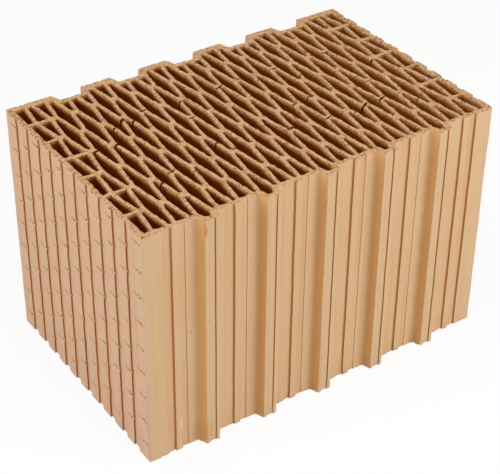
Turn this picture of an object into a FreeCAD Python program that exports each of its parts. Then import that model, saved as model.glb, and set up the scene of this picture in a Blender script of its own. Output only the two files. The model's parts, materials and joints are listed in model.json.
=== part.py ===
import FreeCAD, Part
import math
import os

# Hollow fired clay wall block, in mm. X runs through the wall from one plaster face to the other,
# Y runs along the wall from the tongue face (-Y) to the groove face (+Y), and Z up along the cells.
wall_depth = 380.0
face_length = 247.0
height = 249.0
corner_radius = 2.0

# Tongues on the -Y face, with a shallow slot down the middle of each tip
tongue_count = 5
tongue_pitch = 63.3
tongue_height = 8.0
tongue_tip_width = 13.8
tongue_flank_run = 3.4
tongue_slot_width = 6.8
tongue_slot_depth = 1.2
tongue_root_radius = 4.0
tongue_tip_radius = 0.6

# Shallow steps on the tongue face between the tongues: a raised strip, a recess on each side, a field
strip_width = 6.8
recess_width = 7.0
end_recess_width = 8.4
recess_depth = 2.0
field_depth = 1.4

# Grooves on the +Y face take the tongues of the next block with these gaps
groove_side_gap = 5.1
groove_end_gap = 3.8
groove_flank_run = 3.8
groove_edge_radius = 1.0

# Plaster keys: shallow upright recesses on both plaster faces
key_count = 10
key_pitch = 22.2
key_width = 8.5
key_depth = 2.0

# Walls around the cells
plaster_wall = 6.0
joint_wall = 6.0
groove_wall = 3.6
flank_tip_wall = 8.2
tongue_wall = 6.0
cross_web = 2.8

# Lattice of lozenge cells: rows along Y, three columns to each tongue
row_count = 7
row_pitch = 34.6
columns_per_tongue = 3
slant_web = 3.4
tip_gap = 5.8
tip_width = 3.2
cell_bevel = 0.9
blunt_corner = math.radians(150)
pocket_width = 5.6
narrowest_end_cell = 3.0

# Most of an edge that the trim of one corner may take
largest_trim_share = 0.45

# Sizes that follow from the ones above
half_depth = wall_depth / 2
half_pitch = tongue_pitch / columns_per_tongue / 2
columns_per_period = 2 * columns_per_tongue
groove_depth = tongue_height + groove_end_gap
groove_floor_width = tongue_tip_width + 2 * groove_side_gap
groove_mouth_width = groove_floor_width + 2 * groove_flank_run
cell_reach = row_pitch - tip_gap / 2
reach_share = row_pitch / cell_reach
tip_half = tip_width / 2
cell_half = (half_pitch - slant_web - tip_half * reach_share) / (2 - reach_share)
end_column = math.floor((half_depth - plaster_wall - narrowest_end_cell) / half_pitch)
tongue_spots = [(number - (tongue_count - 1) / 2) * tongue_pitch for number in range(tongue_count)]


def corner_angle(points, index):
    """Angle inside a corner of a closed run of points."""
    to_last = points[index - 1] - points[index]
    to_next = points[(index + 1) % len(points)] - points[index]
    return to_last.getAngle(to_next)


def corner_ends(points, index, trim):
    """Where a corner's two edges stop, a distance trim before it, or less where an edge is too short."""
    corner = points[index]
    to_last = points[index - 1] - corner
    to_next = points[(index + 1) % len(points)] - corner
    trim = min(trim, largest_trim_share * to_last.Length, largest_trim_share * to_next.Length)
    return corner + to_last.normalize() * trim, corner + to_next.normalize() * trim


def corner_arc(start, corner, end, half_angle):
    """Arc that meets both edges of a corner where they stop."""
    trim = (start - corner).Length
    to_arc = trim / math.cos(half_angle) - trim * math.tan(half_angle)
    inward = ((start + end) / 2 - corner).normalize()
    return Part.Arc(start, corner + inward * to_arc, end).toShape()


def rounded_wire(corners):
    """Closed wire through (x, y, radius) corners. A radius of 0 leaves the corner sharp."""
    points = [FreeCAD.Vector(x, y, 0) for x, y, radius in corners]
    half_angles = [corner_angle(points, index) / 2 for index in range(len(points))]
    stops = []
    for index, (x, y, radius) in enumerate(corners):
        stops.append(corner_ends(points, index, radius / math.tan(half_angles[index])))
    edges = []
    for index, (start, end) in enumerate(stops):
        last_end = stops[index - 1][1]
        edges.append(Part.LineSegment(last_end, start).toShape())
        if corners[index][2] > 0:
            edges.append(corner_arc(start, points[index], end, half_angles[index]))
    return Part.Wire(edges)


def bevelled_wire(corners):
    """Closed wire of straight edges through (x, y) corners, with each corner that isn't blunt cut off."""
    points = [FreeCAD.Vector(x, y, 0) for x, y in corners]
    trimmed = []
    for index, point in enumerate(points):
        if corner_angle(points, index) > blunt_corner:
            trimmed.append(point)
        else:
            trimmed.extend(corner_ends(points, index, cell_bevel))
    return Part.makePolygon(trimmed + trimmed[:1])


def mirrored_about(x, left_half):
    """The corners left of x, then the same corners mirrored to its right."""
    right_half = [(2 * x - corner_x, y, radius) for corner_x, y, radius in reversed(left_half)]
    return left_half + right_half


def raised_strip(x):
    """A strip that stands up from the recesses on its two sides."""
    edge = x - strip_width / 2
    return mirrored_about(x, [(edge, recess_depth, 0), (edge, 0, 0)])


def tongue(x):
    """One tongue with the field on both sides of it, from recess to recess."""
    field_edge = x - tongue_pitch / 2 + strip_width / 2 + recess_width
    root = x - tongue_tip_width / 2 - tongue_flank_run
    tip = x - tongue_tip_width / 2
    slot = x - tongue_slot_width / 2
    return mirrored_about(x, [
        (field_edge, recess_depth, 0),
        (field_edge, field_depth, 0),
        (root, field_depth, tongue_root_radius),
        (tip, -tongue_height, tongue_tip_radius),
        (slot, -tongue_height, 0),
        (slot, tongue_slot_depth - tongue_height, 0),
    ])


def tongue_face():
    """Corners of the -Y face from the left end to the right end."""
    end_strip_edge = tongue_spots[0] - tongue_pitch / 2 - strip_width / 2 - end_recess_width
    left_end = [
        (-half_depth, 0, corner_radius),
        (end_strip_edge, 0, 0),
        (end_strip_edge, recess_depth, 0),
    ]
    corners = left_end + raised_strip(tongue_spots[0] - tongue_pitch / 2)
    for x in tongue_spots:
        corners += tongue(x)
        corners += raised_strip(x + tongue_pitch / 2)
    return corners + [(-x, y, radius) for x, y, radius in reversed(left_end)]


def key_spots():
    """Middle of each plaster key along Y."""
    return [face_length / 2 + (number - (key_count - 1) / 2) * key_pitch for number in range(key_count)]


def plaster_face():
    """Corners of the keys on the +X face, from the tongue face to the groove face."""
    corners = []
    for y in key_spots():
        near_side = y - key_width / 2
        far_side = y + key_width / 2
        corners += [(half_depth, near_side, 0), (half_depth - key_depth, near_side, 0)]
        corners += [(half_depth - key_depth, far_side, 0), (half_depth, far_side, 0)]
    return corners


def groove_face():
    """Corners of the +Y face from the right end to the left end."""
    corners = [(half_depth, face_length, corner_radius)]
    for x in reversed(tongue_spots):
        right_half = [
            (x + groove_mouth_width / 2, face_length, groove_edge_radius),
            (x + groove_floor_width / 2, face_length - groove_depth, groove_edge_radius),
        ]
        corners += mirrored_about(x, right_half)
    return corners + [(-half_depth, face_length, corner_radius)]


def outline():
    """Outer wire of the block's section."""
    right_face = plaster_face()
    left_face = [(-x, y, radius) for x, y, radius in reversed(right_face)]
    return rounded_wire(tongue_face() + right_face + groove_face() + left_face)


def row_line(number):
    """Y of a row line. Lines 0 and row_count lie in the two joint walls."""
    return face_length / 2 + (number - row_count / 2) * row_pitch


def cell_half_width(distance):
    """Half the width of a lozenge at a distance along Y from its middle."""
    return cell_half - (cell_half - tip_half) * abs(distance) / cell_reach


def even_cell(right_side, x):
    """Wire of a cell that is symmetric about x, from the (x, y) corners of its right side."""
    left_side = [(2 * x - corner_x, y) for corner_x, y in reversed(right_side)]
    return bevelled_wire(right_side + left_side)


def lozenge(x, middle, low, high):
    """One lozenge about (x, middle), cut off straight at low and high."""
    low = max(low, middle - cell_reach)
    high = min(high, middle + cell_reach)
    levels = [low, middle, high] if low < middle < high else [low, high]
    return even_cell([(x + cell_half_width(y - middle), y) for y in levels], x)


def tongue_pocket(x, middle):
    """The first cell of a tongue's column, which runs down into the tongue."""
    high = middle + cell_reach
    right_side = [
        (x + pocket_width / 2, tongue_wall - tongue_height),
        (x + cell_half_width(joint_wall - middle), joint_wall),
        (x + cell_half_width(cell_reach), high),
    ]
    return even_cell(right_side, x)


def column_end(x):
    """Y where the cells of a column stop before the groove face."""
    to_groove = min(abs(x - spot) for spot in tongue_spots)
    if to_groove <= groove_floor_width / 2:
        return face_length - groove_depth - groove_wall
    if to_groove <= groove_mouth_width / 2 + joint_wall:
        return face_length - flank_tip_wall
    return face_length - joint_wall


def middle_lines(column):
    """Row lines that carry the lozenge middles of a column: columns alternate."""
    return range(column % 2, row_count + 1, 2)


def full_column(column):
    """Wires of the lozenges of a column inside the lattice."""
    x = column * half_pitch
    has_tongue = column % columns_per_period == 0 and abs(x) <= tongue_spots[-1] + half_pitch
    wires = []
    for line in middle_lines(column):
        if line == 0 and has_tongue:
            wires.append(tongue_pocket(x, row_line(line)))
        else:
            wires.append(lozenge(x, row_line(line), joint_wall, column_end(x)))
    return wires


def row_band(row):
    """Low and high end of a row between its cross webs or joint walls."""
    low = joint_wall if row == 0 else row_line(row) + cross_web / 2
    high = face_length - joint_wall if row == row_count - 1 else row_line(row + 1) - cross_web / 2
    return low, high


def nearest_middle(column, row):
    """Y of the lozenge middle that a row of this column belongs to."""
    line = row if row in middle_lines(column) else row + 1
    return row_line(line)


def split_column(column):
    """Wires of the last lozenge column, cut through by a cross web on every row line."""
    x = column * half_pitch
    return [lozenge(x, nearest_middle(column, row), *row_band(row)) for row in range(row_count)]


def end_cells(column):
    """Wires of the cells along a plaster face: straight outside, slanting inside, one to a row."""
    side = math.copysign(1, column)
    outer = side * (half_depth - plaster_wall)
    wires = []
    for row in range(row_count):
        low, high = row_band(row)
        middle = nearest_middle(column, row)
        inner_low = column * half_pitch - side * cell_half_width(low - middle)
        inner_high = column * half_pitch - side * cell_half_width(high - middle)
        wires.append(bevelled_wire([(outer, low), (inner_low, low), (inner_high, high), (outer, high)]))
    return wires


def cells():
    """Wires of every cell of the block."""
    wires = []
    for column in range(2 - end_column, end_column - 1):
        wires += full_column(column)
    for side in (-1, 1):
        wires += split_column(side * (end_column - 1))
        wires += end_cells(side * end_column)
    return wires


section = Part.Face([outline()] + cells())
block = section.extrude(FreeCAD.Vector(0, 0, height))
# The origin is at the middle of the underside, tongues included
block.translate(FreeCAD.Vector(0, (tongue_height - face_length) / 2, 0))

os.makedirs("parts", exist_ok=True)
block.exportStep("parts/clay_block.step")
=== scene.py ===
"""Hollow fired clay wall block: a worn, cracked finish over its CAD solid, in a plain white studio."""

import json
import logging
import math
from collections import defaultdict
from contextlib import contextmanager
from dataclasses import dataclass, field
from enum import Enum, IntEnum
from typing import Any, Iterator, Sequence, Union

import bpy
import numpy as np
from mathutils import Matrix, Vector

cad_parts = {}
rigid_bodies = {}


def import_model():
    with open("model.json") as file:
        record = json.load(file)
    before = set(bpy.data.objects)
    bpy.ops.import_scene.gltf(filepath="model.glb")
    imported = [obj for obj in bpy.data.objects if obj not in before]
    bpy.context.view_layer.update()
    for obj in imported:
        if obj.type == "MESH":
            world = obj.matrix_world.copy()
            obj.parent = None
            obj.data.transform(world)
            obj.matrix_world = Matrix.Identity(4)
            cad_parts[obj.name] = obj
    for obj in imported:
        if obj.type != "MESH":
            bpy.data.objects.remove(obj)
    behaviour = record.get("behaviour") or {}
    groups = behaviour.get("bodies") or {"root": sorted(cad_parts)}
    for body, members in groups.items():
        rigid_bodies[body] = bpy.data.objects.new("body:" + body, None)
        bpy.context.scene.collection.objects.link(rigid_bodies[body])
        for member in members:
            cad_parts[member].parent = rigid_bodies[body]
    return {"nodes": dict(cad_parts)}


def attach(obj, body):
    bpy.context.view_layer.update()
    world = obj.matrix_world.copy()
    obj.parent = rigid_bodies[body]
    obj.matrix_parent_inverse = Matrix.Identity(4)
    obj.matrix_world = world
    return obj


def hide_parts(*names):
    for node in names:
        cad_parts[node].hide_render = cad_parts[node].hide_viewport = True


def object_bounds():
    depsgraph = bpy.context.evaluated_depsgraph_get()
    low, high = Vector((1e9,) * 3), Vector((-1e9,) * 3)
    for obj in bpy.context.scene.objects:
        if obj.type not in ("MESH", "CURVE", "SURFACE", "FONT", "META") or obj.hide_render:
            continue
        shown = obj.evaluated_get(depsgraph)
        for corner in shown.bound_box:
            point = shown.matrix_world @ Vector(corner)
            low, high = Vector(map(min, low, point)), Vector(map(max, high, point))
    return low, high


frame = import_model()
cad_low, cad_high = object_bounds()

logging.basicConfig(level=logging.INFO, format="%(message)s")
log = logging.getLogger("clay_block")

MM = 0.001
NODE = "clay_block"
SEED = 20
# Slack for tests of place, and the distance within which the CAD mesh is welded
HAIR = 0.01 * MM
WELD = 0.001 * MM
# Noise swings about this value, and displaced noise has this many layers
NOISE_MIDDLE = 0.5
NOISE_LAYERS = 2

Colour = tuple[float, float, float]
Span = tuple[float, float]
Plane = tuple[Sequence[float], Sequence[float]]
Socket = bpy.types.NodeSocket
Sockets = dict[Union[str, int], Any]

WHITE: Colour = (1.0, 1.0, 1.0)


class Face(IntEnum):
    """Kinds of surface on the block. The value is the index of the surface's material slot."""

    CUT = 0
    SKIN = 1
    STEP = 2
    CELL = 3
    CRACK = 4
    FLANK = 5


OUTSIDE = (Face.SKIN, Face.STEP, Face.FLANK)


class Side(IntEnum):
    """The two plaster faces, by the sign of X."""

    LEFT = -1
    RIGHT = 1


class Bed(Enum):
    """The two cut ends of the block, by their level."""

    LOWER = cad_low.z
    UPPER = cad_high.z


class Element(Enum):
    """What edit mode selects, as Blender's switches for vertices, edges and faces."""

    EDGE = (False, True, False)
    FACE = (False, False, True)


def pick(*pieces: bpy.types.Object) -> None:
    """Selects these objects alone and makes the first one active.

    Args:
        pieces: The objects that the next operators act on.
    """
    bpy.ops.object.select_all(action="DESELECT")
    for piece in pieces:
        piece.select_set(True)
    bpy.context.view_layer.objects.active = pieces[0]


@contextmanager
def edit_mode(piece: bpy.types.Object, element: Element = Element.FACE) -> Iterator[None]:
    """Opens one piece in edit mode.

    Args:
        piece: The mesh object to edit.
        element: What is selected there.

    Returns:
        A context that closes edit mode again.
    """
    pick(piece)
    bpy.context.tool_settings.mesh_select_mode = element.value
    bpy.ops.object.mode_set(mode="EDIT")
    yield
    bpy.ops.object.mode_set(mode="OBJECT")


def apply_modifier(piece: bpy.types.Object, kind: str, **settings: Any) -> None:
    """Adds one modifier and applies it at once.

    Args:
        piece: The mesh object to change.
        kind: The modifier's type.
        settings: The modifier's properties and their values.
    """
    pick(piece)
    modifier = piece.modifiers.new(kind.lower(), kind)
    for name, value in settings.items():
        setattr(modifier, name, value)
    bpy.ops.object.modifier_apply(modifier=modifier.name)


def shake(piece: bpy.types.Object, name: str, wave: float, strength: float, group: str = "") -> None:
    """Moves every vertex by cloudy noise, by a different amount along each axis.

    Args:
        piece: The mesh object to shake.
        name: The noise's name.
        wave: The size of its waves.
        strength: How far a full swing of the noise moves a vertex.
        group: A vertex group that says how much each vertex takes part.
    """
    noise = bpy.data.textures.new(name, "CLOUDS")
    noise.cloud_type = "COLOR"
    noise.noise_scale = wave
    noise.noise_depth = NOISE_LAYERS
    apply_modifier(
        piece, "DISPLACE", texture=noise, texture_coords="LOCAL", direction="RGB_TO_XYZ",
        strength=strength, mid_level=NOISE_MIDDLE, vertex_group=group,
    )


def joined(pieces: Sequence[bpy.types.Object]) -> bpy.types.Object:
    """Joins several mesh objects into the first of them.

    Args:
        pieces: The objects to join.

    Returns:
        The one object that is left.
    """
    pick(*pieces)
    bpy.ops.object.join()
    return pieces[0]


def bake_place(piece: bpy.types.Object) -> bpy.types.Object:
    """Moves an object's place, turn and scale into its mesh.

    Args:
        piece: The object to settle.

    Returns:
        The same object, now at the origin.
    """
    pick(piece)
    bpy.ops.object.transform_apply(location=True, rotation=True, scale=True)
    return piece


def read(items: bpy.types.bpy_prop_collection, name: str, width: int, kind: type = float) -> np.ndarray:
    """Reads one property of every vertex, edge or polygon of a mesh.

    Args:
        items: The vertices, edges or polygons.
        name: The property.
        width: How many numbers it has.
        kind: The kind of number.

    Returns:
        One row of numbers for each item.
    """
    values = np.empty(len(items) * width, kind)
    items.foreach_get(name, values)
    return values.reshape(-1, width)


def vertex_places(mesh: bpy.types.Mesh) -> np.ndarray:
    """X, Y and Z of every vertex."""
    return read(mesh.vertices, "co", 3)


def face_centres(mesh: bpy.types.Mesh) -> np.ndarray:
    """X, Y and Z of the middle of every polygon."""
    return read(mesh.polygons, "center", 3)


def face_normals(mesh: bpy.types.Mesh) -> np.ndarray:
    """The way that every polygon faces."""
    return read(mesh.polygons, "normal", 3)


def surface_kinds(mesh: bpy.types.Mesh) -> np.ndarray:
    """The Face value of every polygon."""
    return read(mesh.polygons, "material_index", 1, np.int32)[:, 0]


def select(piece: bpy.types.Object, element: Element, chosen: np.ndarray) -> None:
    """Selects the chosen edges or faces alone, ready for edit mode.

    Args:
        piece: The mesh object.
        element: Whether edges or faces are chosen.
        chosen: True for each one to select.
    """
    mesh = piece.data
    for items in (mesh.vertices, mesh.edges, mesh.polygons):
        items.foreach_set("select", np.zeros(len(items), bool))
    items = mesh.edges if element is Element.EDGE else mesh.polygons
    items.foreach_set("select", chosen)


class Value:
    """A shader socket that takes part in Python arithmetic and leaves Math nodes behind."""

    def __init__(self, board: "NodeBoard", socket: Socket) -> None:
        """Keeps the socket and the board that its nodes go on."""
        self.board = board
        self.socket = socket

    def __add__(self, other: "Number") -> "Value":
        """This value plus another."""
        return self.board.math("ADD", self, other)

    def __radd__(self, other: "Number") -> "Value":
        """A number plus this value."""
        return self.board.math("ADD", other, self)

    def __sub__(self, other: "Number") -> "Value":
        """This value less another."""
        return self.board.math("SUBTRACT", self, other)

    def __rsub__(self, other: "Number") -> "Value":
        """A number less this value."""
        return self.board.math("SUBTRACT", other, self)

    def __mul__(self, other: "Number") -> "Value":
        """This value times another."""
        return self.board.math("MULTIPLY", self, other)

    def __rmul__(self, other: "Number") -> "Value":
        """A number times this value."""
        return self.board.math("MULTIPLY", other, self)

    def __abs__(self) -> "Value":
        """This value without its sign."""
        return self.board.math("ABSOLUTE", self)


Number = Union[float, Value]


def mingled(first: Value, second: Value, share: float) -> Value:
    """Adds two patterns up, with this share of the second."""
    return first * (1.0 - share) + second * share


def srgb(red: int, green: int, blue: int) -> Colour:
    """Turns a screen colour of 0 to 255 into the linear colour that a shader takes.

    Args:
        red: Red as on a screen.
        green: Green as on a screen.
        blue: Blue as on a screen.

    Returns:
        The same colour in linear light.
    """
    def linear(channel: int) -> float:
        """One channel in linear light."""
        share = channel / 255
        return share / 12.92 if share <= 0.04045 else ((share + 0.055) / 1.055) ** 2.4

    return linear(red), linear(green), linear(blue)


@dataclass(frozen=True)
class Pattern:
    """Soft noise over the object.

    Attributes:
        wave: The size of its waves.
        detail: How many finer layers it has.
        drawn: How many times longer its waves are along Z, the way the block left the die.
    """

    wave: float
    detail: float = 3.0
    drawn: float = 1.0


@dataclass(frozen=True)
class Feel:
    """The relief and the gloss of a clay surface.

    Attributes:
        relief: The depth of its relief.
        relief_share: How much of the relief shows.
        roughness: How dull it is at the least.
        roughness_play: How much duller it gets.
        sheen: How much white light glances off it.
    """

    relief: float
    relief_share: float
    roughness: float
    roughness_play: float
    sheen: float


class NodeBoard:
    """The nodes of one material or world, added one after another."""

    def __init__(self, owner: Union[bpy.types.Material, bpy.types.World]) -> None:
        """Clears the owner's nodes."""
        owner.use_nodes = True
        self.owner = owner
        self.tree = owner.node_tree
        self.tree.nodes.clear()

    def add(self, kind: str, settings: dict[str, Any], sockets: Sockets) -> bpy.types.Node:
        """Adds a node, sets it up and then fills its sockets.

        Args:
            kind: The node's type.
            settings: Its properties.
            sockets: Values, colours or links for its inputs, by name or number.

        Returns:
            The new node.
        """
        node = self.tree.nodes.new(kind)
        for name, value in settings.items():
            setattr(node, name, value)
        for key, value in sockets.items():
            target = node.inputs[key]
            if isinstance(value, Value):
                value = value.socket
            if isinstance(value, Socket):
                self.tree.links.new(value, target)
            elif target.type == "RGBA":
                target.default_value = (*value, 1.0)
            else:
                target.default_value = value
        return node

    def math(self, operation: str, first: Number, second: Number = 0.0) -> Value:
        """Adds one Math node.

        Args:
            operation: What the node does.
            first: Its first input.
            second: Its second input.

        Returns:
            The node's result.
        """
        node = self.add("ShaderNodeMath", {"operation": operation}, {0: first, 1: second})
        return Value(self, node.outputs[0])

    def place(self) -> Socket:
        """Object coordinates in metres."""
        return self.add("ShaderNodeTexCoord", {}, {}).outputs["Object"]

    def axis(self, name: str) -> Value:
        """One of the object coordinates, X, Y or Z, in metres."""
        return Value(self, self.add("ShaderNodeSeparateXYZ", {}, {0: self.place()}).outputs[name])

    def noise(self, pattern: Pattern) -> Value:
        """Adds a pattern of soft noise.

        Args:
            pattern: The pattern's waves.

        Returns:
            The noise, from about 0 to 1.
        """
        across = 1.0 / pattern.wave
        shrink = (across, across, 1.0 / (pattern.wave * pattern.drawn))
        mapped = self.add("ShaderNodeMapping", {}, {"Vector": self.place(), "Scale": shrink}).outputs[0]
        sockets = {"Vector": mapped, "Scale": 1.0, "Detail": pattern.detail}
        return Value(self, self.add("ShaderNodeTexNoise", {}, sockets).outputs["Fac"])

    def distance(self, spot: Sequence[float], unit: Sequence[float] = (1.0, 1.0, 1.0)) -> Value:
        """Distance from a spot, in units of its own along each axis.

        Args:
            spot: The place to measure from.
            unit: The length of one unit along X, Y and Z, in metres.

        Returns:
            The distance in those units.
        """
        kind = "ShaderNodeVectorMath"
        shrink = tuple(1.0 / length for length in unit)
        offset = self.add(kind, {"operation": "SUBTRACT"}, {0: self.place(), 1: spot}).outputs[0]
        scaled = self.add(kind, {"operation": "MULTIPLY"}, {0: offset, 1: shrink}).outputs[0]
        return Value(self, self.add(kind, {"operation": "LENGTH"}, {0: scaled}).outputs["Value"])

    def step(self, value: Number, span: Span) -> Value:
        """Rises smoothly from 0 to 1 over a span of values, or falls where the span runs downwards.

        Args:
            value: What is measured.
            span: Where the result is 0 and where it is 1.

        Returns:
            The smooth step.
        """
        low, high = span
        if low > high:
            return 1.0 - self.step(value, (high, low))
        sockets = {"Value": value, "From Min": low, "From Max": high}
        node = self.add("ShaderNodeMapRange", {"interpolation_type": "SMOOTHSTEP"}, sockets)
        return Value(self, node.outputs["Result"])

    def blend(self, share: Number, first: Any, second: Any) -> Socket:
        """Mixes two colours.

        Args:
            share: How much of the second colour shows.
            first: The first colour or its link.
            second: The second colour or its link.

        Returns:
            The mixed colour.
        """
        # A Mix node has several sockets of each name: 6 and 7 take colours, and result 2 is one
        settings = {"data_type": "RGBA", "clamp_factor": True}
        return self.add("ShaderNodeMix", settings, {0: share, 6: first, 7: second}).outputs[2]

    def seen_directly(self) -> Value:
        """1 for rays from the camera and for reflections and glass, 0 for light that is scattered."""
        path = self.add("ShaderNodeLightPath", {}, {}).outputs
        mirrored = Value(self, path["Is Glossy Ray"]) + Value(self, path["Is Transmission Ray"])
        return mirrored + Value(self, path["Is Camera Ray"])

    def clay(self, colour: Socket, height: Value, dullness: Value, feel: Feel) -> bpy.types.Material:
        """Closes the material as dry, unglazed clay.

        Args:
            colour: The base colour.
            height: The relief, from about 0 to 1.
            dullness: Where the surface is duller, from about 0 to 1.
            feel: The depth of the relief and the gloss.

        Returns:
            The finished material.
        """
        relief = {"Height": height, "Distance": feel.relief, "Strength": feel.relief_share}
        sockets = {
            "Base Color": colour,
            "Roughness": feel.roughness + feel.roughness_play * dullness,
            "Normal": self.add("ShaderNodeBump", {}, relief).outputs[0],
            "Specular IOR Level": feel.sheen,
        }
        shader = self.add("ShaderNodeBsdfPrincipled", {}, sockets)
        self.add("ShaderNodeOutputMaterial", {}, {"Surface": shader.outputs[0]})
        return self.owner


@dataclass(frozen=True)
class CutClay:
    """The wire-cut beds: gritty and pitted, with no drag marks, and one grain of lime."""

    body: Colour = srgb(205, 164, 119)
    warm: Colour = srgb(209, 168, 136)
    fleck: Colour = srgb(186, 140, 90)
    pit: Colour = srgb(138, 92, 48)
    grain: Colour = srgb(224, 188, 150)
    lime: Colour = srgb(252, 248, 240)
    # The grain of lime and its soft edge, and where the outer walls begin, by their distance along X
    lime_spot: Sequence[float] = (145.7 * MM, -20.3 * MM, cad_high.z)
    lime_edge: Span = (2.6 * MM, 1.82 * MM)
    outer_wall: Span = (183.0 * MM, 184.0 * MM)
    # Noise, the values of it over which each colour comes in, and how much of the colour shows
    coarse: Pattern = Pattern(2.4 * MM, 4.0)
    fine: Pattern = Pattern(0.8 * MM, 2.0)
    clouds: Pattern = Pattern(40.0 * MM, 2.0)
    flecks: Pattern = Pattern(3.6 * MM, 2.0)
    warm_span: Span = (0.35, 0.7)
    fleck_span: Span = (0.52, 0.38)
    fleck_share: float = 0.6
    pit_span: Span = (0.46, 0.36)
    pit_share: float = 0.85
    pit_fineness: float = 0.35
    more_wall_pits: float = 0.03
    grain_span: Span = (0.54, 0.66)
    grain_share: float = 0.6
    grain_fineness: float = 0.6
    # Relief and gloss
    feel: Feel = Feel(relief=0.9 * MM, relief_share=0.8, roughness=0.86, roughness_play=0.1, sheen=0.1)
    relief_fineness: float = 0.3
    pit_depth: float = 0.5

    def material(self) -> bpy.types.Material:
        """Builds the finish.

        Returns:
            The material.
        """
        board = NodeBoard(bpy.data.materials.new("cut_clay"))
        coarse = board.noise(self.coarse)
        fine = board.noise(self.fine)
        clouds = board.step(board.noise(self.clouds), self.warm_span)
        flecks = board.step(board.noise(self.flecks), self.fleck_span)
        more_pits = board.step(abs(board.axis("X")), self.outer_wall) * self.more_wall_pits
        pits = board.step(mingled(coarse, fine, self.pit_fineness) - more_pits, self.pit_span)
        grains = board.step(mingled(coarse, fine, self.grain_fineness), self.grain_span)
        lime = board.step(board.distance(self.lime_spot), self.lime_edge)
        colour = board.blend(clouds, self.body, self.warm)
        colour = board.blend(flecks * self.fleck_share, colour, self.fleck)
        colour = board.blend(pits * self.pit_share, colour, self.pit)
        colour = board.blend(grains * self.grain_share, colour, self.grain)
        colour = board.blend(lime, colour, self.lime)
        height = mingled(coarse, fine, self.relief_fineness) - pits * self.pit_depth
        return board.clay(colour, height, fine, self.feel)


@dataclass(frozen=True)
class Stain:
    """A soft patch of another colour on the outer skin.

    Attributes:
        colour: The colour of the patch.
        spot: Its middle.
        reach: How far it spreads along X, Y and Z.
        share: How much of the colour shows.
    """

    colour: Colour
    spot: Sequence[float]
    reach: Sequence[float]
    share: float


STAINS = (
    Stain(srgb(198, 116, 62), (-132.8 * MM, -127.5 * MM, 239 * MM), (1.4 * MM, 4 * MM, 11 * MM), 0.8),
    Stain(srgb(228, 200, 166), (-156 * MM, -118 * MM, 31 * MM), (3 * MM, 4 * MM, 10 * MM), 0.7),
    Stain(srgb(194, 148, 98), (-135 * MM, -122 * MM, 12 * MM), (15 * MM, 12 * MM, 18 * MM), 0.45),
)


@dataclass(frozen=True)
class DrawnClay:
    """The outer skin, drawn smooth by the die: upright streaks, soft clouds and a few dark specks, and
    painted light towards the tongue tips.
    """

    name: str = "drawn_clay"
    body: Colour = srgb(210, 175, 133)
    warm: Colour = srgb(212, 172, 131)
    pale: Colour = srgb(213, 180, 142)
    tip_shading: Colour = srgb(212, 179, 140)
    streak: Colour = srgb(178, 128, 80)
    plaster: Colour = srgb(214, 173, 146)
    plaster_pale: Colour = srgb(212, 180, 145)
    speck: Colour = srgb(112, 72, 40)
    # Where the plaster faces begin, by their distance along X, and the tongues, from root to tip along Y,
    # over which the tips' painted light comes in: a painted highlight on the plain skin, painted shade on
    # the flanks and steps
    plaster_edge: Span = (187.0 * MM, 187.8 * MM)
    tip_shading_span: Span = (-117.4 * MM, -122.2 * MM)
    # Noise, the values of it over which each colour comes in, and how much of the colour shows
    streaks: Pattern = Pattern(4.8 * MM, 3.0, 50.0)
    hairs: Pattern = Pattern(1.1 * MM, 2.0, 50.0)
    bands: Pattern = Pattern(17.0 * MM, 2.0, 12.0)
    clouds: Pattern = Pattern(70.0 * MM)
    grit: Pattern = Pattern(2.0 * MM)
    mottle: Pattern = Pattern(9.0 * MM, 3.0, 3.0)
    specks: Pattern = Pattern(3.0 * MM, 2.0)
    warm_span: Span = (0.4, 0.62)
    pale_span: Span = (0.42, 0.65)
    pale_share: float = 0.5
    tip_shading_share: float = 0.9
    mottle_span: Span = (0.4, 0.62)
    streak_span: Span = (0.5, 0.75)
    streak_share: float = 0.2
    hair_span: Span = (0.5, 0.8)
    hair_share: float = 0.15
    speck_span: Span = (0.735, 0.76)
    speck_share: float = 0.6
    stain_span: Span = (1.0, 0.5)
    stain_mottle: float = 0.6
    stain_grit: float = 2.4
    # Relief and gloss
    feel: Feel = Feel(relief=0.35 * MM, relief_share=0.7, roughness=0.72, roughness_play=0.18, sheen=0.2)
    streak_height: float = 0.5
    hair_height: float = 0.3
    grit_height: float = 0.35

    def material(self) -> bpy.types.Material:
        """Builds the finish.

        Returns:
            The material.
        """
        board = NodeBoard(bpy.data.materials.new(self.name))
        streaks = board.noise(self.streaks)
        hairs = board.noise(self.hairs)
        grit = board.noise(self.grit)
        mottle = board.noise(self.mottle)
        bands = board.step(board.noise(self.bands), self.warm_span)
        clouds = board.step(board.noise(self.clouds), self.pale_span)
        specks = board.step(board.noise(self.specks), self.speck_span)
        plaster = board.step(abs(board.axis("X")), self.plaster_edge)
        tip_shading_mask = board.step(board.axis("Y"), self.tip_shading_span)
        keyed = board.blend(board.step(mottle, self.mottle_span), self.plaster, self.plaster_pale)
        colour = board.blend(bands, self.body, self.warm)
        colour = board.blend(clouds * self.pale_share, colour, self.pale)
        # Painted light on the tongues: lighter tips on the plain skin as a painted highlight, more orange
        # tips on the flanks and darker ones on the steps as painted shade
        colour = board.blend(tip_shading_mask * self.tip_shading_share, colour, self.tip_shading)
        colour = board.blend(plaster, colour, keyed)
        colour = board.blend(board.step(streaks, self.streak_span) * self.streak_share, colour, self.streak)
        colour = board.blend(board.step(hairs, self.hair_span) * self.hair_share, colour, self.pale)
        colour = board.blend(specks * self.speck_share, colour, self.speck)
        uneven = self.stain_mottle * (mottle - NOISE_MIDDLE) + self.stain_grit * (grit - NOISE_MIDDLE)
        for stain in STAINS:
            patch = board.step(board.distance(stain.spot, stain.reach) + uneven, self.stain_span)
            colour = board.blend(patch * stain.share, colour, stain.colour)
        height = streaks * self.streak_height + hairs * self.hair_height + grit * self.grit_height
        return board.clay(colour, height, hairs, self.feel)


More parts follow.
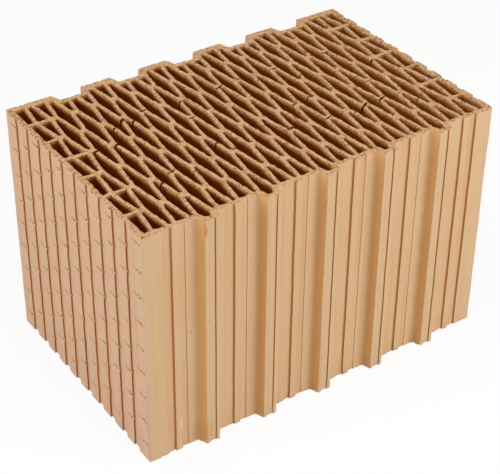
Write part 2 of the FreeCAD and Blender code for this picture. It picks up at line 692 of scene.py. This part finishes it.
@dataclass(frozen=True)
class CellClay:
    """The cell walls: torn at the lip, with painted shade that turns them dark brown away from the open
    ends, painted a little lighter towards +X where more light reaches in.
    """

    name: str = "cell_clay"
    lip: Colour = srgb(206, 158, 102)
    deep_shade: Colour = srgb(147, 68, 12)
    far_deep_shade: Colour = srgb(166, 92, 36)
    tear: Colour = srgb(120, 66, 26)
    # Depth below the open end where the lip's colour gives way to painted shade, and where the painted deep
    # shade is full
    lip_depth: float = 0.8 * MM
    fade: float = 5.8 * MM
    # Noise, the values of it that are torn, and how much of the tear's colour shows
    pocks: Pattern = Pattern(2.6 * MM)
    ticks: Pattern = Pattern(1.9 * MM, 2.0, 3.0)
    pock_span: Span = (0.47, 0.36)
    tick_span: Span = (0.52, 0.62)
    tear_share: float = 0.7
    # Relief and gloss
    feel: Feel = Feel(relief=0.8 * MM, relief_share=0.8, roughness=0.85, roughness_play=0.1, sheen=0.0)
    pock_height: float = 0.6
    tick_depth: float = 0.3

    def material(self) -> bpy.types.Material:
        """Builds the finish.

        Returns:
            The material.
        """
        board = NodeBoard(bpy.data.materials.new(self.name))
        level = board.axis("Z")
        to_end = board.math("MINIMUM", level, cad_high.z - level)
        pocks = board.noise(self.pocks)
        ticks = board.noise(self.ticks)
        # Painted shade: the walls darken with depth below either open end, less so towards +X
        deep_shade = board.blend(board.step(board.axis("X"), (0.0, cad_high.x)), self.deep_shade, self.far_deep_shade)
        colour = board.blend(board.step(to_end, (self.lip_depth, self.fade)), self.lip, deep_shade)
        torn = (board.step(ticks, self.tick_span) + board.step(pocks, self.pock_span)) * self.tear_share
        colour = board.blend(torn * board.step(to_end, (self.fade, 0.0)), colour, self.tear)
        height = pocks * self.pock_height - ticks * self.tick_depth
        return board.clay(colour, height, pocks, self.feel)


@dataclass(frozen=True)
class StudioWhite:
    """The floor: white to look at, but dull enough to throw little light back at the block."""

    seen: Colour = (0.9, 0.9, 0.9)
    thrown: Colour = (0.5, 0.5, 0.5)
    glow: float = 0.9

    def material(self) -> bpy.types.Material:
        """Builds the finish.

        Returns:
            The material.
        """
        board = NodeBoard(bpy.data.materials.new("studio_white"))
        seen = board.seen_directly()
        paint = board.add("ShaderNodeBsdfDiffuse", {}, {"Color": board.blend(seen, self.thrown, self.seen)})
        white = board.add("ShaderNodeEmission", {}, {"Color": WHITE})
        sockets = {0: seen * self.glow, 1: paint.outputs[0], 2: white.outputs[0]}
        mixed = board.add("ShaderNodeMixShader", {}, sockets)
        board.add("ShaderNodeOutputMaterial", {}, {"Surface": mixed.outputs[0]})
        return board.owner


# The step walls and the keys' walls: a copy of the drawn clay painted darker and redder, as painted shade
# in these narrow recesses
SHADED_STEP_CLAY = DrawnClay(
    name="step_shade_clay",
    body=srgb(204, 146, 84),
    warm=srgb(204, 142, 82),
    pale=srgb(204, 150, 92),
    tip_shading=srgb(178, 118, 62),
    streak=srgb(170, 110, 58),
    plaster=srgb(177, 113, 54),
    plaster_pale=srgb(183, 123, 60),
)

# The left flanks of the tongues: a copy of the drawn clay in more saturated yellow and orange, as painted
# shade, turning more orange towards the tips
SHADED_FLANK_CLAY = DrawnClay(
    name="flank_shade_clay",
    body=srgb(215, 175, 124),
    warm=srgb(215, 171, 120),
    pale=srgb(215, 177, 130),
    tip_shading=srgb(219, 169, 109),
    streak=srgb(200, 146, 88),
)

# The crack walls: the cell walls' finish made darker, as painted shade in the narrow gaps, deepening with
# depth
SHADED_CRACK_CLAY = CellClay(
    name="crack_shade_clay",
    lip=srgb(140, 84, 38),
    deep_shade=srgb(92, 38, 8),
    far_deep_shade=srgb(92, 38, 8),
    tear=srgb(104, 54, 18),
    lip_depth=0.5 * MM,
    fade=5.0 * MM,
)

FINISHES = {
    Face.CUT: CutClay(),
    Face.SKIN: DrawnClay(),
    Face.STEP: SHADED_STEP_CLAY,
    Face.CELL: CellClay(),
    Face.CRACK: SHADED_CRACK_CLAY,
    Face.FLANK: SHADED_FLANK_CLAY,
}


@dataclass(frozen=True)
class Crack:
    """A drying crack across a web, placed in steps of the cell lattice.

    Attributes:
        column: Place along X in half column steps from the middle.
        line: Place along Y in rows from the first row line.
        heading: Turn of the crack in plan, in degrees from X.
        length: Length in plan.
        width: Gap at the cut face. Narrow cracks are shallow too.
        lean: Lean of the crack from upright, in degrees.
    """

    column: float
    line: float
    heading: float
    length: float
    width: float
    lean: float = 6.0


CRACKS = (
    Crack(-11.1, 2.0, 21.0, 11.0 * MM, 4.0 * MM),
    Crack(-12.65, 1.69, 0.0, 9.0 * MM, 3.6 * MM),
    Crack(-9.4, 1.71, 10.0, 8.0 * MM, 2.6 * MM),
    Crack(-4.75, 2.06, 10.0, 8.0 * MM, 3.2 * MM),
    Crack(1.1, 2.06, 5.0, 12.0 * MM, 4.4 * MM),
    Crack(4.9, 1.97, 20.0, 12.0 * MM, 2.6 * MM),
    Crack(7.35, 1.77, 10.0, 6.0 * MM, 1.6 * MM),
    Crack(8.75, 1.93, 20.0, 14.0 * MM, 4.0 * MM),
    Crack(9.2, 2.0, 5.0, 8.0 * MM, 2.0 * MM),
    Crack(10.9, 1.97, 22.0, 14.0 * MM, 3.2 * MM),
    Crack(12.9, 1.98, 10.0, 7.0 * MM, 1.4 * MM),
    Crack(13.5, 1.43, 10.0, 7.0 * MM, 2.0 * MM),
    Crack(-10.4, 4.87, 32.0, 13.0 * MM, 4.2 * MM),
    Crack(-11.6, 4.6, 30.0, 8.0 * MM, 2.8 * MM),
    Crack(-9.65, 4.64, 31.0, 9.0 * MM, 3.2 * MM),
    Crack(-8.0, 5.0, 0.0, 11.0 * MM, 2.8 * MM),
    Crack(-4.45, 4.84, 23.0, 10.0 * MM, 3.8 * MM),
    Crack(-0.1, 4.93, 19.0, 12.0 * MM, 3.2 * MM),
    Crack(2.05, 5.02, 0.0, 11.0 * MM, 2.4 * MM),
    Crack(3.57, 4.64, 15.0, 7.0 * MM, 2.2 * MM),
    Crack(5.95, 4.96, 0.0, 10.0 * MM, 3.0 * MM),
    Crack(11.9, 4.93, 0.0, 10.0 * MM, 3.0 * MM),
    Crack(-5.55, 2.5, 10.0, 8.0 * MM, 2.6 * MM),
    Crack(-0.5, 2.58, 10.0, 6.0 * MM, 1.4 * MM),
    Crack(-14.7, 3.9, 15.0, 9.0 * MM, 3.6 * MM),
    Crack(-12.7, 3.88, 10.0, 9.0 * MM, 3.8 * MM),
    Crack(-5.05, 3.96, 12.0, 9.0 * MM, 3.6 * MM),
    Crack(3.85, 3.04, 15.0, 9.0 * MM, 2.2 * MM),
    Crack(5.6, 3.14, 10.0, 7.0 * MM, 2.2 * MM),
    Crack(11.85, 2.94, 15.0, 9.0 * MM, 2.0 * MM),
    Crack(7.35, 4.22, 10.0, 7.0 * MM, 2.2 * MM),
    Crack(14.5, 3.82, 35.0, 11.0 * MM, 2.8 * MM),
)


@dataclass(frozen=True)
class Break:
    """A lump of clay that is missing from a web, placed in steps of the cell lattice.

    Attributes:
        column: Place along X in half column steps from the middle.
        line: Place along Y in rows from the first row line.
        radius: Size of the lump.
    """

    column: float
    line: float
    radius: float


BREAKS = (
    Break(-11.15, 2.03, 2.2 * MM),
    Break(1.2, 2.07, 2.2 * MM),
    Break(2.5, 2.55, 2.3 * MM),
    Break(2.52, 2.43, 2.4 * MM),
    Break(10.36, 5.25, 2.4 * MM),
    Break(10.44, 5.36, 2.0 * MM),
    Break(-4.7, 2.08, 2.0 * MM),
    Break(10.42, 4.66, 1.8 * MM),
    Break(12.45, 4.6, 2.0 * MM),
)


@dataclass
class ClayBlock:
    """The fired block: a refined copy of its CAD solid with scores, cracks, chips and wear."""

    # Lattice of the cells: steps of half a column along X and of a row along Y, and its middle in both
    half_pitch: float = 63.3 / 6 * MM
    row_pitch: float = 34.6 * MM
    middle_line: float = 3.5
    lattice_middle: float = 4.0 * MM
    # Keys of the plaster faces
    key_pitch: float = 22.2 * MM
    key_width: float = 8.5 * MM
    key_floor: float = 188.0 * MM
    key_count: int = 10
    # Scores of the roller, and how far one may stray along X, Y and Z
    score_rise: float = 27.65 * MM
    first_score: float = 19.0 * MM
    score_count: int = 9
    score_sides: int = 4
    score_mouth: float = 1.5 * MM
    score_end: float = 0.25 * MM
    score_overrun: float = 1.6 * MM
    score_play: tuple[float, ...] = (0.15 * MM, 0.5 * MM, 0.8 * MM)
    # Bulges of the land edges where a score runs out
    kink: float = 1.2 * MM
    kink_reach: float = 1.8 * MM
    kink_rise: float = 2.0 * MM
    kink_levels: tuple[float, ...] = (-3.5 * MM, 0.5 * MM, 3.5 * MM)
    # Drying cracks, and the width from which one has the full depth
    crack_depth: float = 9.0 * MM
    deep_crack: float = 3.4 * MM
    crack_sides: int = 6
    crack_foot_share: float = 0.35
    crack_overrun: float = 1.0 * MM
    crack_wave: float = 6.0 * MM
    crack_shake: float = 2.0 * MM
    # Chips and broken webs
    skin_chips: int = 240
    cell_chips: int = 220
    chip_share: dict[Bed, float] = field(default_factory=lambda: {Bed.LOWER: 0.25, Bed.UPPER: 1.0})
    chip_radius: Span = (0.6 * MM, 1.6 * MM)
    rim_share: Span = (0.1, 0.9)
    stone_shares: Span = (0.65, 1.15)
    break_sink_share: float = 0.3
    # Telling faces apart: parts of a normal along an axis, widths too small to see, cosine of a sharp turn
    facing: float = 0.5
    slanting: float = 0.25
    aside: float = 0.2
    faint_step: float = 1.1 * MM
    faint_slant: float = 0.3 * MM
    sharp_turn: float = 0.6
    # Rounded edges and smooth shading
    step_edge: float = 0.25 * MM
    cell_rim: float = 0.9 * MM
    smooth_angle: float = math.radians(35)
    # Net of small faces
    levels: tuple[float, ...] = (4 * MM, 124 * MM, 240 * MM, 246 * MM)
    top_zone: float = 240.0 * MM
    joint_rim: float = 113.0 * MM
    top_row_step: float = 3.2 * MM
    skin_step: float = 12.0 * MM
    # Swaying walls and crumbling rims
    sway: float = 1.5 * MM
    sway_wave: float = 24.0 * MM
    joint_sway_share: float = 0.35
    plaster_swell_share: float = 0.1
    crumble: float = 1.8 * MM
    crumble_wave: float = 2.4 * MM
    crumble_reach: float = 6.0 * MM
    plaster_crumble_share: float = 0.5
    cell_crumble_share: float = 0.1
    skin_crumble_share: float = 0.03
    # The mesh in hand, the run of chance, and the side, Y and level of each score's open end
    piece: bpy.types.Object = field(init=False)
    dice: np.random.Generator = field(init=False)
    mouths: list[np.ndarray] = field(default_factory=list)

    def __post_init__(self) -> None:
        """Starts the fixed run of chance that the wear follows."""
        self.dice = np.random.default_rng(SEED)

    def build(self) -> bpy.types.Object:
        """Makes the finished block.

        Returns:
            The piece that stands for the CAD node.
        """
        self.copy_solid()
        self.sort_faces()
        cutter = joined([self.scores(), self.cracks(), self.lumps()])
        self.ease_edges()
        apply_modifier(
            self.piece, "BOOLEAN", operation="DIFFERENCE", solver="EXACT", use_self=True, object=cutter
        )
        bpy.data.objects.remove(cutter)
        self.lay_net()
        self.wear()
        self.settle()
        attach(self.piece, "root")
        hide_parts(NODE)
        return self.piece

    def copy_solid(self) -> None:
        """Copies the CAD mesh, welds it and pairs its triangles."""
        mesh = frame["nodes"][NODE].data.copy()
        mesh.materials.clear()
        for kind in Face:
            mesh.materials.append(FINISHES[kind].material())
        self.piece = bpy.data.objects.new("fired_block", mesh)
        bpy.context.scene.collection.objects.link(self.piece)
        with edit_mode(self.piece):
            bpy.ops.mesh.select_all(action="SELECT")
            bpy.ops.mesh.remove_doubles(threshold=WELD)
            bpy.ops.mesh.customdata_custom_splitnormals_clear()
            bpy.ops.mesh.tris_convert_to_quads()

    def part_beds_and_skin(self) -> None:
        """Tells the cut beds and the outer skin, which is linked all round, from the cell walls."""
        mesh = self.piece.data
        upright = np.abs(face_normals(mesh)[:, 2]) < self.facing
        mesh.polygons.foreach_set("material_index", np.where(upright, Face.CELL, Face.CUT).astype(np.int32))
        select(self.piece, Element.FACE, ~upright)
        with edit_mode(self.piece):
            bpy.ops.mesh.hide(unselected=False)
        outermost = np.zeros(len(mesh.polygons), bool)
        outermost[np.argmin(face_centres(mesh)[:, 0])] = True
        select(self.piece, Element.FACE, outermost)
        with edit_mode(self.piece):
            bpy.ops.mesh.select_linked()
            self.piece.active_material_index = Face.SKIN
            bpy.ops.object.material_slot_assign()
            bpy.ops.mesh.reveal(select=False)

    def sort_faces(self) -> None:
        """Gives the beds, the skin with its steps and left flanks, and the cells their material slots."""
        self.part_beds_and_skin()
        mesh = self.piece.data
        kinds = surface_kinds(mesh)
        skin = kinds == Face.SKIN
        normal_x, normal_y = face_normals(mesh)[:, :2].T
        centres = face_centres(mesh)
        plaster = np.abs(centres[:, 0]) > self.key_floor - HAIR
        keyed = np.abs(centres[:, 1] - self.lattice_middle) < self.key_count / 2 * self.key_pitch
        widths = read(mesh.polygons, "area", 1)[:, 0] / (cad_high.z - cad_low.z)
        key_walls = plaster & keyed & (np.abs(normal_y) > self.facing)
        step_walls = ~plaster & (np.abs(normal_y) < self.aside) & (widths > self.faint_step)
        left_slants = (normal_x < -self.slanting) & (normal_y < -self.aside)
        flanks = ~plaster & left_slants & (widths > self.faint_slant)
        # Step walls, key walls and left flanks take the copies of the drawn clay that carry painted shade
        kinds[skin & (key_walls | step_walls)] = Face.STEP
        kinds[skin & flanks] = Face.FLANK
        mesh.polygons.foreach_set("material_index", kinds)

    def lattice_place(self, column: float, line: float) -> tuple[float, float]:
        """Turns steps of the cell lattice into a place in plan.

        Args:
            column: Half column steps from the middle.
            line: Rows from the first row line.

        Returns:
            X and Y in metres.
        """
        return column * self.half_pitch, self.lattice_middle + (line - self.middle_line) * self.row_pitch

    def scores(self) -> bpy.types.Object:
        """Cutter for the short scores that a spiked roller left across the lands of both plaster faces.

        Returns:
            The cutter, whose scores on even and odd lands lie half a step apart.
        """
        cutters = []
        length = self.key_pitch - self.key_width
        for side in Side:
            for odd in (0, 1):
                first_land = self.lattice_middle + (odd - self.key_count / 2) * self.key_pitch
                level = self.first_score + odd * self.score_rise / 2
                bpy.ops.mesh.primitive_cone_add(
                    vertices=self.score_sides,
                    radius1=self.score_mouth,
                    radius2=self.score_end,
                    depth=length,
                    location=(side * cad_high.x, first_land - self.score_overrun, level),
                    rotation=(-math.pi / 2, 0.0, 0.0),
                )
                cutter = bake_place(bpy.context.object)
                self.spread_over_lands(cutter, side, odd)
                cutters.append(cutter)
        return self.lined(joined(cutters), Face.CUT)

    def spread_over_lands(self, piece: bpy.types.Object, side: Side, odd: int) -> None:
        """Repeats a mark of the roller up and along every second land, a little out of line each time.

        Args:
            piece: The first mark, at the lowest level of the first land.
            side: The plaster face.
            odd: 0 for the first, third and further lands, 1 for those between, which have one mark less.
        """
        land_count = self.key_count // 2 + 1 - odd
        score_count = self.score_count - odd
        self.array(piece, score_count, (0.0, 0.0, self.score_rise))
        self.array(piece, land_count, (0.0, 2 * self.key_pitch, 0.0))
        copies = vertex_places(piece.data).reshape(score_count * land_count, -1, 3)
        copies += self.dice.uniform(-1.0, 1.0, (len(copies), 1, 3)) * np.array(self.score_play)
        piece.data.vertices.foreach_set("co", copies.ravel())
        edges = copies[:, :, 1].min(axis=1) + self.score_overrun
        levels = copies[:, :, 2].mean(axis=1)
        self.mouths.extend(np.column_stack((np.full(len(copies), side), edges, levels)))

    def lined(self, cutter: bpy.types.Object, kind: Face) -> bpy.types.Object:
        """Gives a cutter the kind of surface that it leaves behind.

        Args:
            cutter: The cutter.
            kind: The kind of surface.

        Returns:
            The same cutter.
        """
        mesh = cutter.data
        for material in self.piece.data.materials:
            mesh.materials.append(material)
        mesh.polygons.foreach_set("material_index", np.full(len(mesh.polygons), kind, np.int32))
        return cutter

    @staticmethod
    def array(piece: bpy.types.Object, count: int, offset: Sequence[float]) -> None:
        """Repeats a mesh in a row.

        Args:
            piece: The mesh object.
            count: How many there are in the end.
            offset: The step from each one to the next.
        """
        apply_modifier(
            piece, "ARRAY", count=count, use_relative_offset=False,
            use_constant_offset=True, constant_offset_displace=offset,
        )

    def cracks(self) -> bpy.types.Object:
        """Cutter for the drying cracks: thin uneven blades that are widest at the upper bed.

        Returns:
            The cutter.
        """
        blades = []
        for crack in CRACKS:
            depth = self.crack_depth * min(1.0, crack.width / self.deep_crack)
            bpy.ops.mesh.primitive_cone_add(
                vertices=self.crack_sides, radius1=self.crack_foot_share, radius2=1.0, depth=1.0,
                location=(0.0, 0.0, self.crack_overrun - depth / 2),
                scale=(crack.length / 2, crack.width / 2, depth),
            )
            blade = bake_place(bpy.context.object)
            blade.rotation_euler = (math.radians(crack.lean), 0.0, math.radians(crack.heading))
            blade.location = (*self.lattice_place(crack.column, crack.line), cad_high.z)
            blades.append(bake_place(blade))
        cutter = joined(blades)
        with edit_mode(cutter):
            bpy.ops.mesh.select_all(action="SELECT")
            bpy.ops.mesh.subdivide(number_cuts=2)
        shake(cutter, "crack_path", self.crack_wave, self.crack_shake)
        return self.lined(cutter, Face.CRACK)

    def rim_spots(self, kinds: Sequence[Face], bed: Bed, count: int) -> np.ndarray:
        """Chooses chance spots along the edges where some kinds of wall meet a cut bed.

        Args:
            kinds: The kinds of wall.
            bed: The cut bed.
            count: How many spots.

        Returns:
            One row of X, Y and Z for each spot.
        """
        mesh = self.piece.data
        places = vertex_places(mesh)
        on_bed = np.abs(places[:, 2] - bed.value) < HAIR
        walls = [polygon for polygon in mesh.polygons if polygon.material_index in kinds]
        rims = [key for wall in walls for key in wall.edge_keys if on_bed[key[0]] and on_bed[key[1]]]
        starts, ends = places[np.array(rims).T]
        lengths = np.linalg.norm(ends - starts, axis=1)
        chosen = self.dice.choice(len(rims), count, p=lengths / lengths.sum())
        shares = self.dice.uniform(*self.rim_share, (count, 1))
        return starts[chosen] + (ends - starts)[chosen] * shares

    def lumps(self) -> bpy.types.Object:
        """Cutter for the chips along the rims and for the broken webs: small uneven stones.

        Returns:
            The cutter.
        """
        spots = []
        radii = []
        for bed in Bed:
            for kinds, count in ((OUTSIDE, self.skin_chips), ((Face.CELL,), self.cell_chips)):
                count = round(count * self.chip_share[bed])
                spots.extend(self.rim_spots(kinds, bed, count))
                radii.extend(self.dice.uniform(*self.chip_radius, count))
        for lost in BREAKS:
            level = cad_high.z - self.break_sink_share * lost.radius
            spots.append((*self.lattice_place(lost.column, lost.line), level))
            radii.append(lost.radius)
        bpy.ops.mesh.primitive_ico_sphere_add(subdivisions=1, radius=1.0)
        cutter = bpy.context.object
        self.array(cutter, len(spots), (0.0, 0.0, 0.0))
        stones = vertex_places(cutter.data).reshape(len(spots), -1, 3)
        stones *= self.dice.uniform(*self.stone_shares, stones.shape)
        stones = np.array(spots)[:, None] + stones * np.array(radii)[:, None, None]
        cutter.data.vertices.foreach_set("co", stones.ravel())
        return self.lined(cutter, Face.CUT)

    def sharp_edges(self, first: Sequence[Face], second: Sequence[Face]) -> np.ndarray:
        """Finds the sharp edges where one kind of surface meets another.

        Args:
            first: Kinds of surface on one side.
            second: Kinds of surface on the other side.

        Returns:
            True for each such edge.
        """
        mesh = self.piece.data
        kinds = surface_kinds(mesh)
        normals = face_normals(mesh)
        sides = defaultdict(list)
        for polygon in mesh.polygons:
            for key in polygon.edge_keys:
                sides[key].append(polygon.index)

        def wanted(one: int, other: int) -> bool:
            """Whether two faces meet sharply and are of the two kinds."""
            if normals[one] @ normals[other] >= self.sharp_turn:
                return False
            as_named = kinds[one] in first and kinds[other] in second
            return as_named or kinds[other] in first and kinds[one] in second

        return np.array([wanted(*sides[edge.key]) for edge in mesh.edges])

    def on_plaster_faces(self) -> np.ndarray:
        """Finds the edges of the two plaster faces with their keys.

        Returns:
            True for each such edge.
        """
        mesh = self.piece.data
        ends = read(mesh.edges, "vertices", 2, np.int32)
        return (np.abs(vertex_places(mesh)[ends, 0]) > self.key_floor - HAIR).all(axis=1)

    def bevel(self, chosen: np.ndarray, radius: float, segments: int, kind: Face) -> None:
        """Rounds the chosen edges.

        Args:
            chosen: True for each edge to round.
            radius: How far the round reaches.
            segments: How many faces it has.
            kind: The kind of surface that it becomes.
        """
        select(self.piece, Element.EDGE, chosen)
        with edit_mode(self.piece, Element.EDGE):
            bpy.ops.mesh.bevel(offset=radius, segments=segments, clamp_overlap=False, material=kind)

    def ease_edges(self) -> None:
        """Rounds the upright edges of the keys and steps, and then the rims of the cells."""
        steps = self.sharp_edges((Face.STEP,), (Face.SKIN,))
        self.bevel(steps & self.on_plaster_faces(), self.step_edge, 1, Face.SKIN)
        steps = self.sharp_edges((Face.STEP,), (Face.SKIN,))
        self.bevel(steps & ~self.on_plaster_faces(), self.step_edge, 1, Face.STEP)
        self.bevel(self.sharp_edges((Face.CUT,), (Face.CELL,)), self.cell_rim, 2, Face.CUT)

    def slice(self, zone: np.ndarray, planes: Sequence[Plane]) -> None:
        """Cuts a zone of the mesh by planes, without parting it.

        Args:
            zone: True for each polygon that is cut.
            planes: A point and a normal for each cut.
        """
        select(self.piece, Element.FACE, zone)
        with edit_mode(self.piece):
            bpy.ops.mesh.hide(unselected=True)
            for place, normal in planes:
                bpy.ops.mesh.select_all(action="SELECT")
                bpy.ops.mesh.bisect(plane_co=place, plane_no=normal)
            bpy.ops.mesh.reveal(select=False)

    def lay_net(self) -> None:
        """Cuts the walls into a net of small faces, finest at the upper bed, so that they can wear."""
        mesh = self.piece.data
        across = (0.0, 1.0, 0.0)
        level = (0.0, 0.0, 1.0)
        fine_rows = np.arange(cad_low.y + self.top_row_step, cad_high.y, self.top_row_step)
        fine_columns = np.arange(cad_low.x + self.top_row_step, cad_high.x, self.top_row_step)
        skin_levels = np.arange(self.skin_step, self.top_zone, self.skin_step)
        select(self.piece, Element.FACE, surface_kinds(mesh) == Face.CRACK)
        with edit_mode(self.piece):
            bpy.ops.mesh.quads_convert_to_tris()
        self.slice(np.ones(len(mesh.polygons), bool), [((0.0, 0.0, z), level) for z in self.levels])
        top = face_centres(mesh)[:, 2] > self.top_zone
        self.slice(top, [((0.0, y, 0.0), across) for y in fine_rows])
        centres = face_centres(mesh)
        joint_rim = (centres[:, 2] > self.top_zone) & (np.abs(centres[:, 1]) > self.joint_rim)
        self.slice(joint_rim, [((x, 0.0, 0.0), (1.0, 0.0, 0.0)) for x in fine_columns])
        skin = np.isin(surface_kinds(mesh), OUTSIDE)
        self.slice(skin, [((0.0, 0.0, z), level) for z in skin_levels])
        centres = face_centres(mesh)
        keyed = np.isin(surface_kinds(mesh), OUTSIDE) & (np.abs(centres[:, 0]) > self.key_floor - HAIR)
        scored = self.first_score + np.arange(2 * self.score_count - 1) * self.score_rise / 2
        self.slice(keyed, [((0.0, 0.0, z + lift), level) for z in scored for lift in self.kink_levels])
        # Faces with three or four corners stay as they are
        apply_modifier(self.piece, "TRIANGULATE", min_vertices=5)
        self.close_slivers()

    def close_slivers(self) -> None:
        """Draws each thin sliver that the cuts left open or folded together into one point."""
        with edit_mode(self.piece, Element.EDGE):
            bpy.ops.mesh.select_all(action="DESELECT")
            bpy.ops.mesh.select_non_manifold()
            bpy.ops.mesh.merge(type="COLLAPSE")

    def wear(self) -> None:
        """Lets the walls sway, the joint faces less, lets the rims crumble and levels the plaster faces."""
        mesh = self.piece.data
        places = vertex_places(mesh)
        outer = np.zeros(len(places), bool)
        for polygon in mesh.polygons:
            if polygon.material_index in OUTSIDE:
                outer[list(polygon.vertices)] = True
        to_bed = np.minimum(places[:, 2] - cad_low.z, cad_high.z - places[:, 2])
        joint_face = outer & (np.abs(places[:, 0]) < self.key_floor - self.step_edge)
        self.push_edges(places, outer)
        self.weigh("sway", np.where(joint_face, self.joint_sway_share, 1.0))
        rim = np.where(outer & ~joint_face, self.plaster_crumble_share, 1.0)
        inward = np.where(outer, self.skin_crumble_share, self.cell_crumble_share)
        self.weigh("crumble", np.where(to_bed < self.crumble_reach, rim, inward))
        shake(self.piece, "clay_sway", self.sway_wave, self.sway, "sway")
        shake(self.piece, "clay_crumble", self.crumble_wave, self.crumble, "crumble")
        self.piece.vertex_groups.clear()
        self.level_plaster_faces(places[:, 0], outer & ~joint_face)

    def level_plaster_faces(self, before: np.ndarray, plaster: np.ndarray) -> None:
        """Takes back most of the swell of the plaster faces, whose edges sway along the wall instead.

        Args:
            before: X of every vertex before the wear.
            plaster: True for each vertex of the two plaster faces.
        """
        places = vertex_places(self.piece.data)
        places[plaster, 0] -= (1.0 - self.plaster_swell_share) * (places[plaster, 0] - before[plaster])
        self.piece.data.vertices.foreach_set("co", places.ravel())

    def push_edges(self, places: np.ndarray, outer: np.ndarray) -> None:
        """Bulges the edge of each land over its key where a score runs out.

        Args:
            places: The place of every vertex.
            outer: True for each vertex of the outer skin.
        """
        keyed = np.flatnonzero(outer & (np.abs(places[:, 0]) > self.key_floor - self.step_edge))
        for side, edge, level in self.mouths:
            at_edge = np.abs(places[keyed, 1] - edge) < self.kink_reach
            near = keyed[at_edge & (places[keyed, 0] * side > 0)]
            rise = (places[near, 2] - level) / self.kink_rise
            places[near, 1] -= self.kink * np.exp(-rise * rise)
        self.piece.data.vertices.foreach_set("co", places.ravel())

    def weigh(self, name: str, weights: np.ndarray) -> None:
        """Makes a vertex group from one weight for each vertex.

        Args:
            name: The group's name.
            weights: The weights, which take only a few different values.
        """
        group = self.piece.vertex_groups.new(name=name)
        for weight in np.unique(weights):
            group.add(np.flatnonzero(weights == weight).tolist(), float(weight), "REPLACE")

    def settle(self) -> None:
        """Keeps the worn block inside the CAD box and smooths its shading."""
        mesh = self.piece.data
        places = np.clip(vertex_places(mesh), cad_low, cad_high)
        mesh.vertices.foreach_set("co", places.ravel())
        mesh.validate()
        mesh.update()
        pick(self.piece)
        bpy.ops.object.shade_smooth_by_angle(angle=self.smooth_angle)


@dataclass(frozen=True)
class Lamp:
    """One square soft light that faces the block.

    Attributes:
        name: The lamp's name.
        place: Where it hangs.
        size: The side of its square.
        power: Its power in watts.
    """

    name: str
    place: Sequence[float]
    size: float
    power: float

    def hang(self) -> None:
        """Puts the lamp in the scene."""
        light = bpy.data.lights.new(self.name, "AREA")
        light.size = self.size
        light.energy = self.power
        holder = bpy.data.objects.new(self.name, light)
        holder.location = self.place
        aim = (cad_low + cad_high) / 2 - holder.location
        holder.rotation_euler = aim.to_track_quat("-Z", "Y").to_euler()
        bpy.context.scene.collection.objects.link(holder)


@dataclass
class Studio:
    """The floor, the lamps and the camera of the photograph."""

    eye: Sequence[float] = (-0.6504, -0.9382, 0.9197)
    target: Sequence[float] = (-0.0176, 0.0266, 0.1433)
    roll: float = math.radians(0.156)
    sensor_width: float = 36.0
    lens: float = 102.63
    shift: Span = (0.0592, -0.0788)
    floor_size: float = 12.0
    floor_gap: float = 0.2 * MM
    fill: float = 0.42
    fill_colour: Colour = (1.0, 0.94, 0.86)
    lamps: tuple[Lamp, ...] = (
        Lamp("lamp_overhead", (-0.2, -0.2, 1.2), 0.7, 4.2),
        Lamp("lamp_left", (-1.6, 0.02, 0.7), 0.9, 13.0),
        Lamp("lamp_right", (0.95, -1.7, 0.8), 1.3, 27.0),
    )

    def build(self) -> None:
        """Sets up the whole studio."""
        self.lay_floor()
        for lamp in self.lamps:
            lamp.hang()
        self.fill_world()
        self.place_camera()

    def lay_floor(self) -> None:
        """Lays the white floor just under the block."""
        bpy.ops.object.select_all(action="DESELECT")
        level = cad_low.z - self.floor_gap
        bpy.ops.mesh.primitive_plane_add(size=self.floor_size, location=(0.0, 0.0, level))
        floor = bake_place(bpy.context.object)
        floor.name = "studio_floor"
        floor.data.materials.append(StudioWhite().material())

    def fill_world(self) -> None:
        """Gives the room a soft even fill and a white look."""
        world = bpy.data.worlds.new("studio_room")
        board = NodeBoard(world)
        seen = board.seen_directly()
        colour = board.blend(seen, self.fill_colour, WHITE)
        strength = self.fill + (1.0 - self.fill) * seen
        sky = board.add("ShaderNodeBackground", {}, {"Color": colour, "Strength": strength})
        board.add("ShaderNodeOutputWorld", {}, {"Surface": sky.outputs[0]})
        bpy.context.scene.world = world

    def place_camera(self) -> None:
        """Puts the camera where the photograph was taken."""
        data = bpy.data.cameras.new("camera")
        data.sensor_width = self.sensor_width
        data.lens = self.lens
        data.shift_x, data.shift_y = self.shift
        holder = bpy.data.objects.new("camera", data)
        look = (Vector(self.target) - Vector(self.eye)).to_track_quat("-Z", "Y")
        holder.location = self.eye
        holder.rotation_euler = look.to_euler()
        holder.rotation_euler.rotate_axis("Z", -self.roll)
        bpy.context.scene.collection.objects.link(holder)
        bpy.context.scene.camera = holder
        bpy.context.scene.view_settings.view_transform = "Standard"


def main() -> None:
    """Builds the block and its studio."""
    piece = ClayBlock().build()
    triangles = sum(len(polygon.vertices) - 2 for polygon in piece.data.polygons)
    log.info("%s: %d triangles", piece.name, triangles)
    Studio().build()


if __name__ == "__main__":
    main()
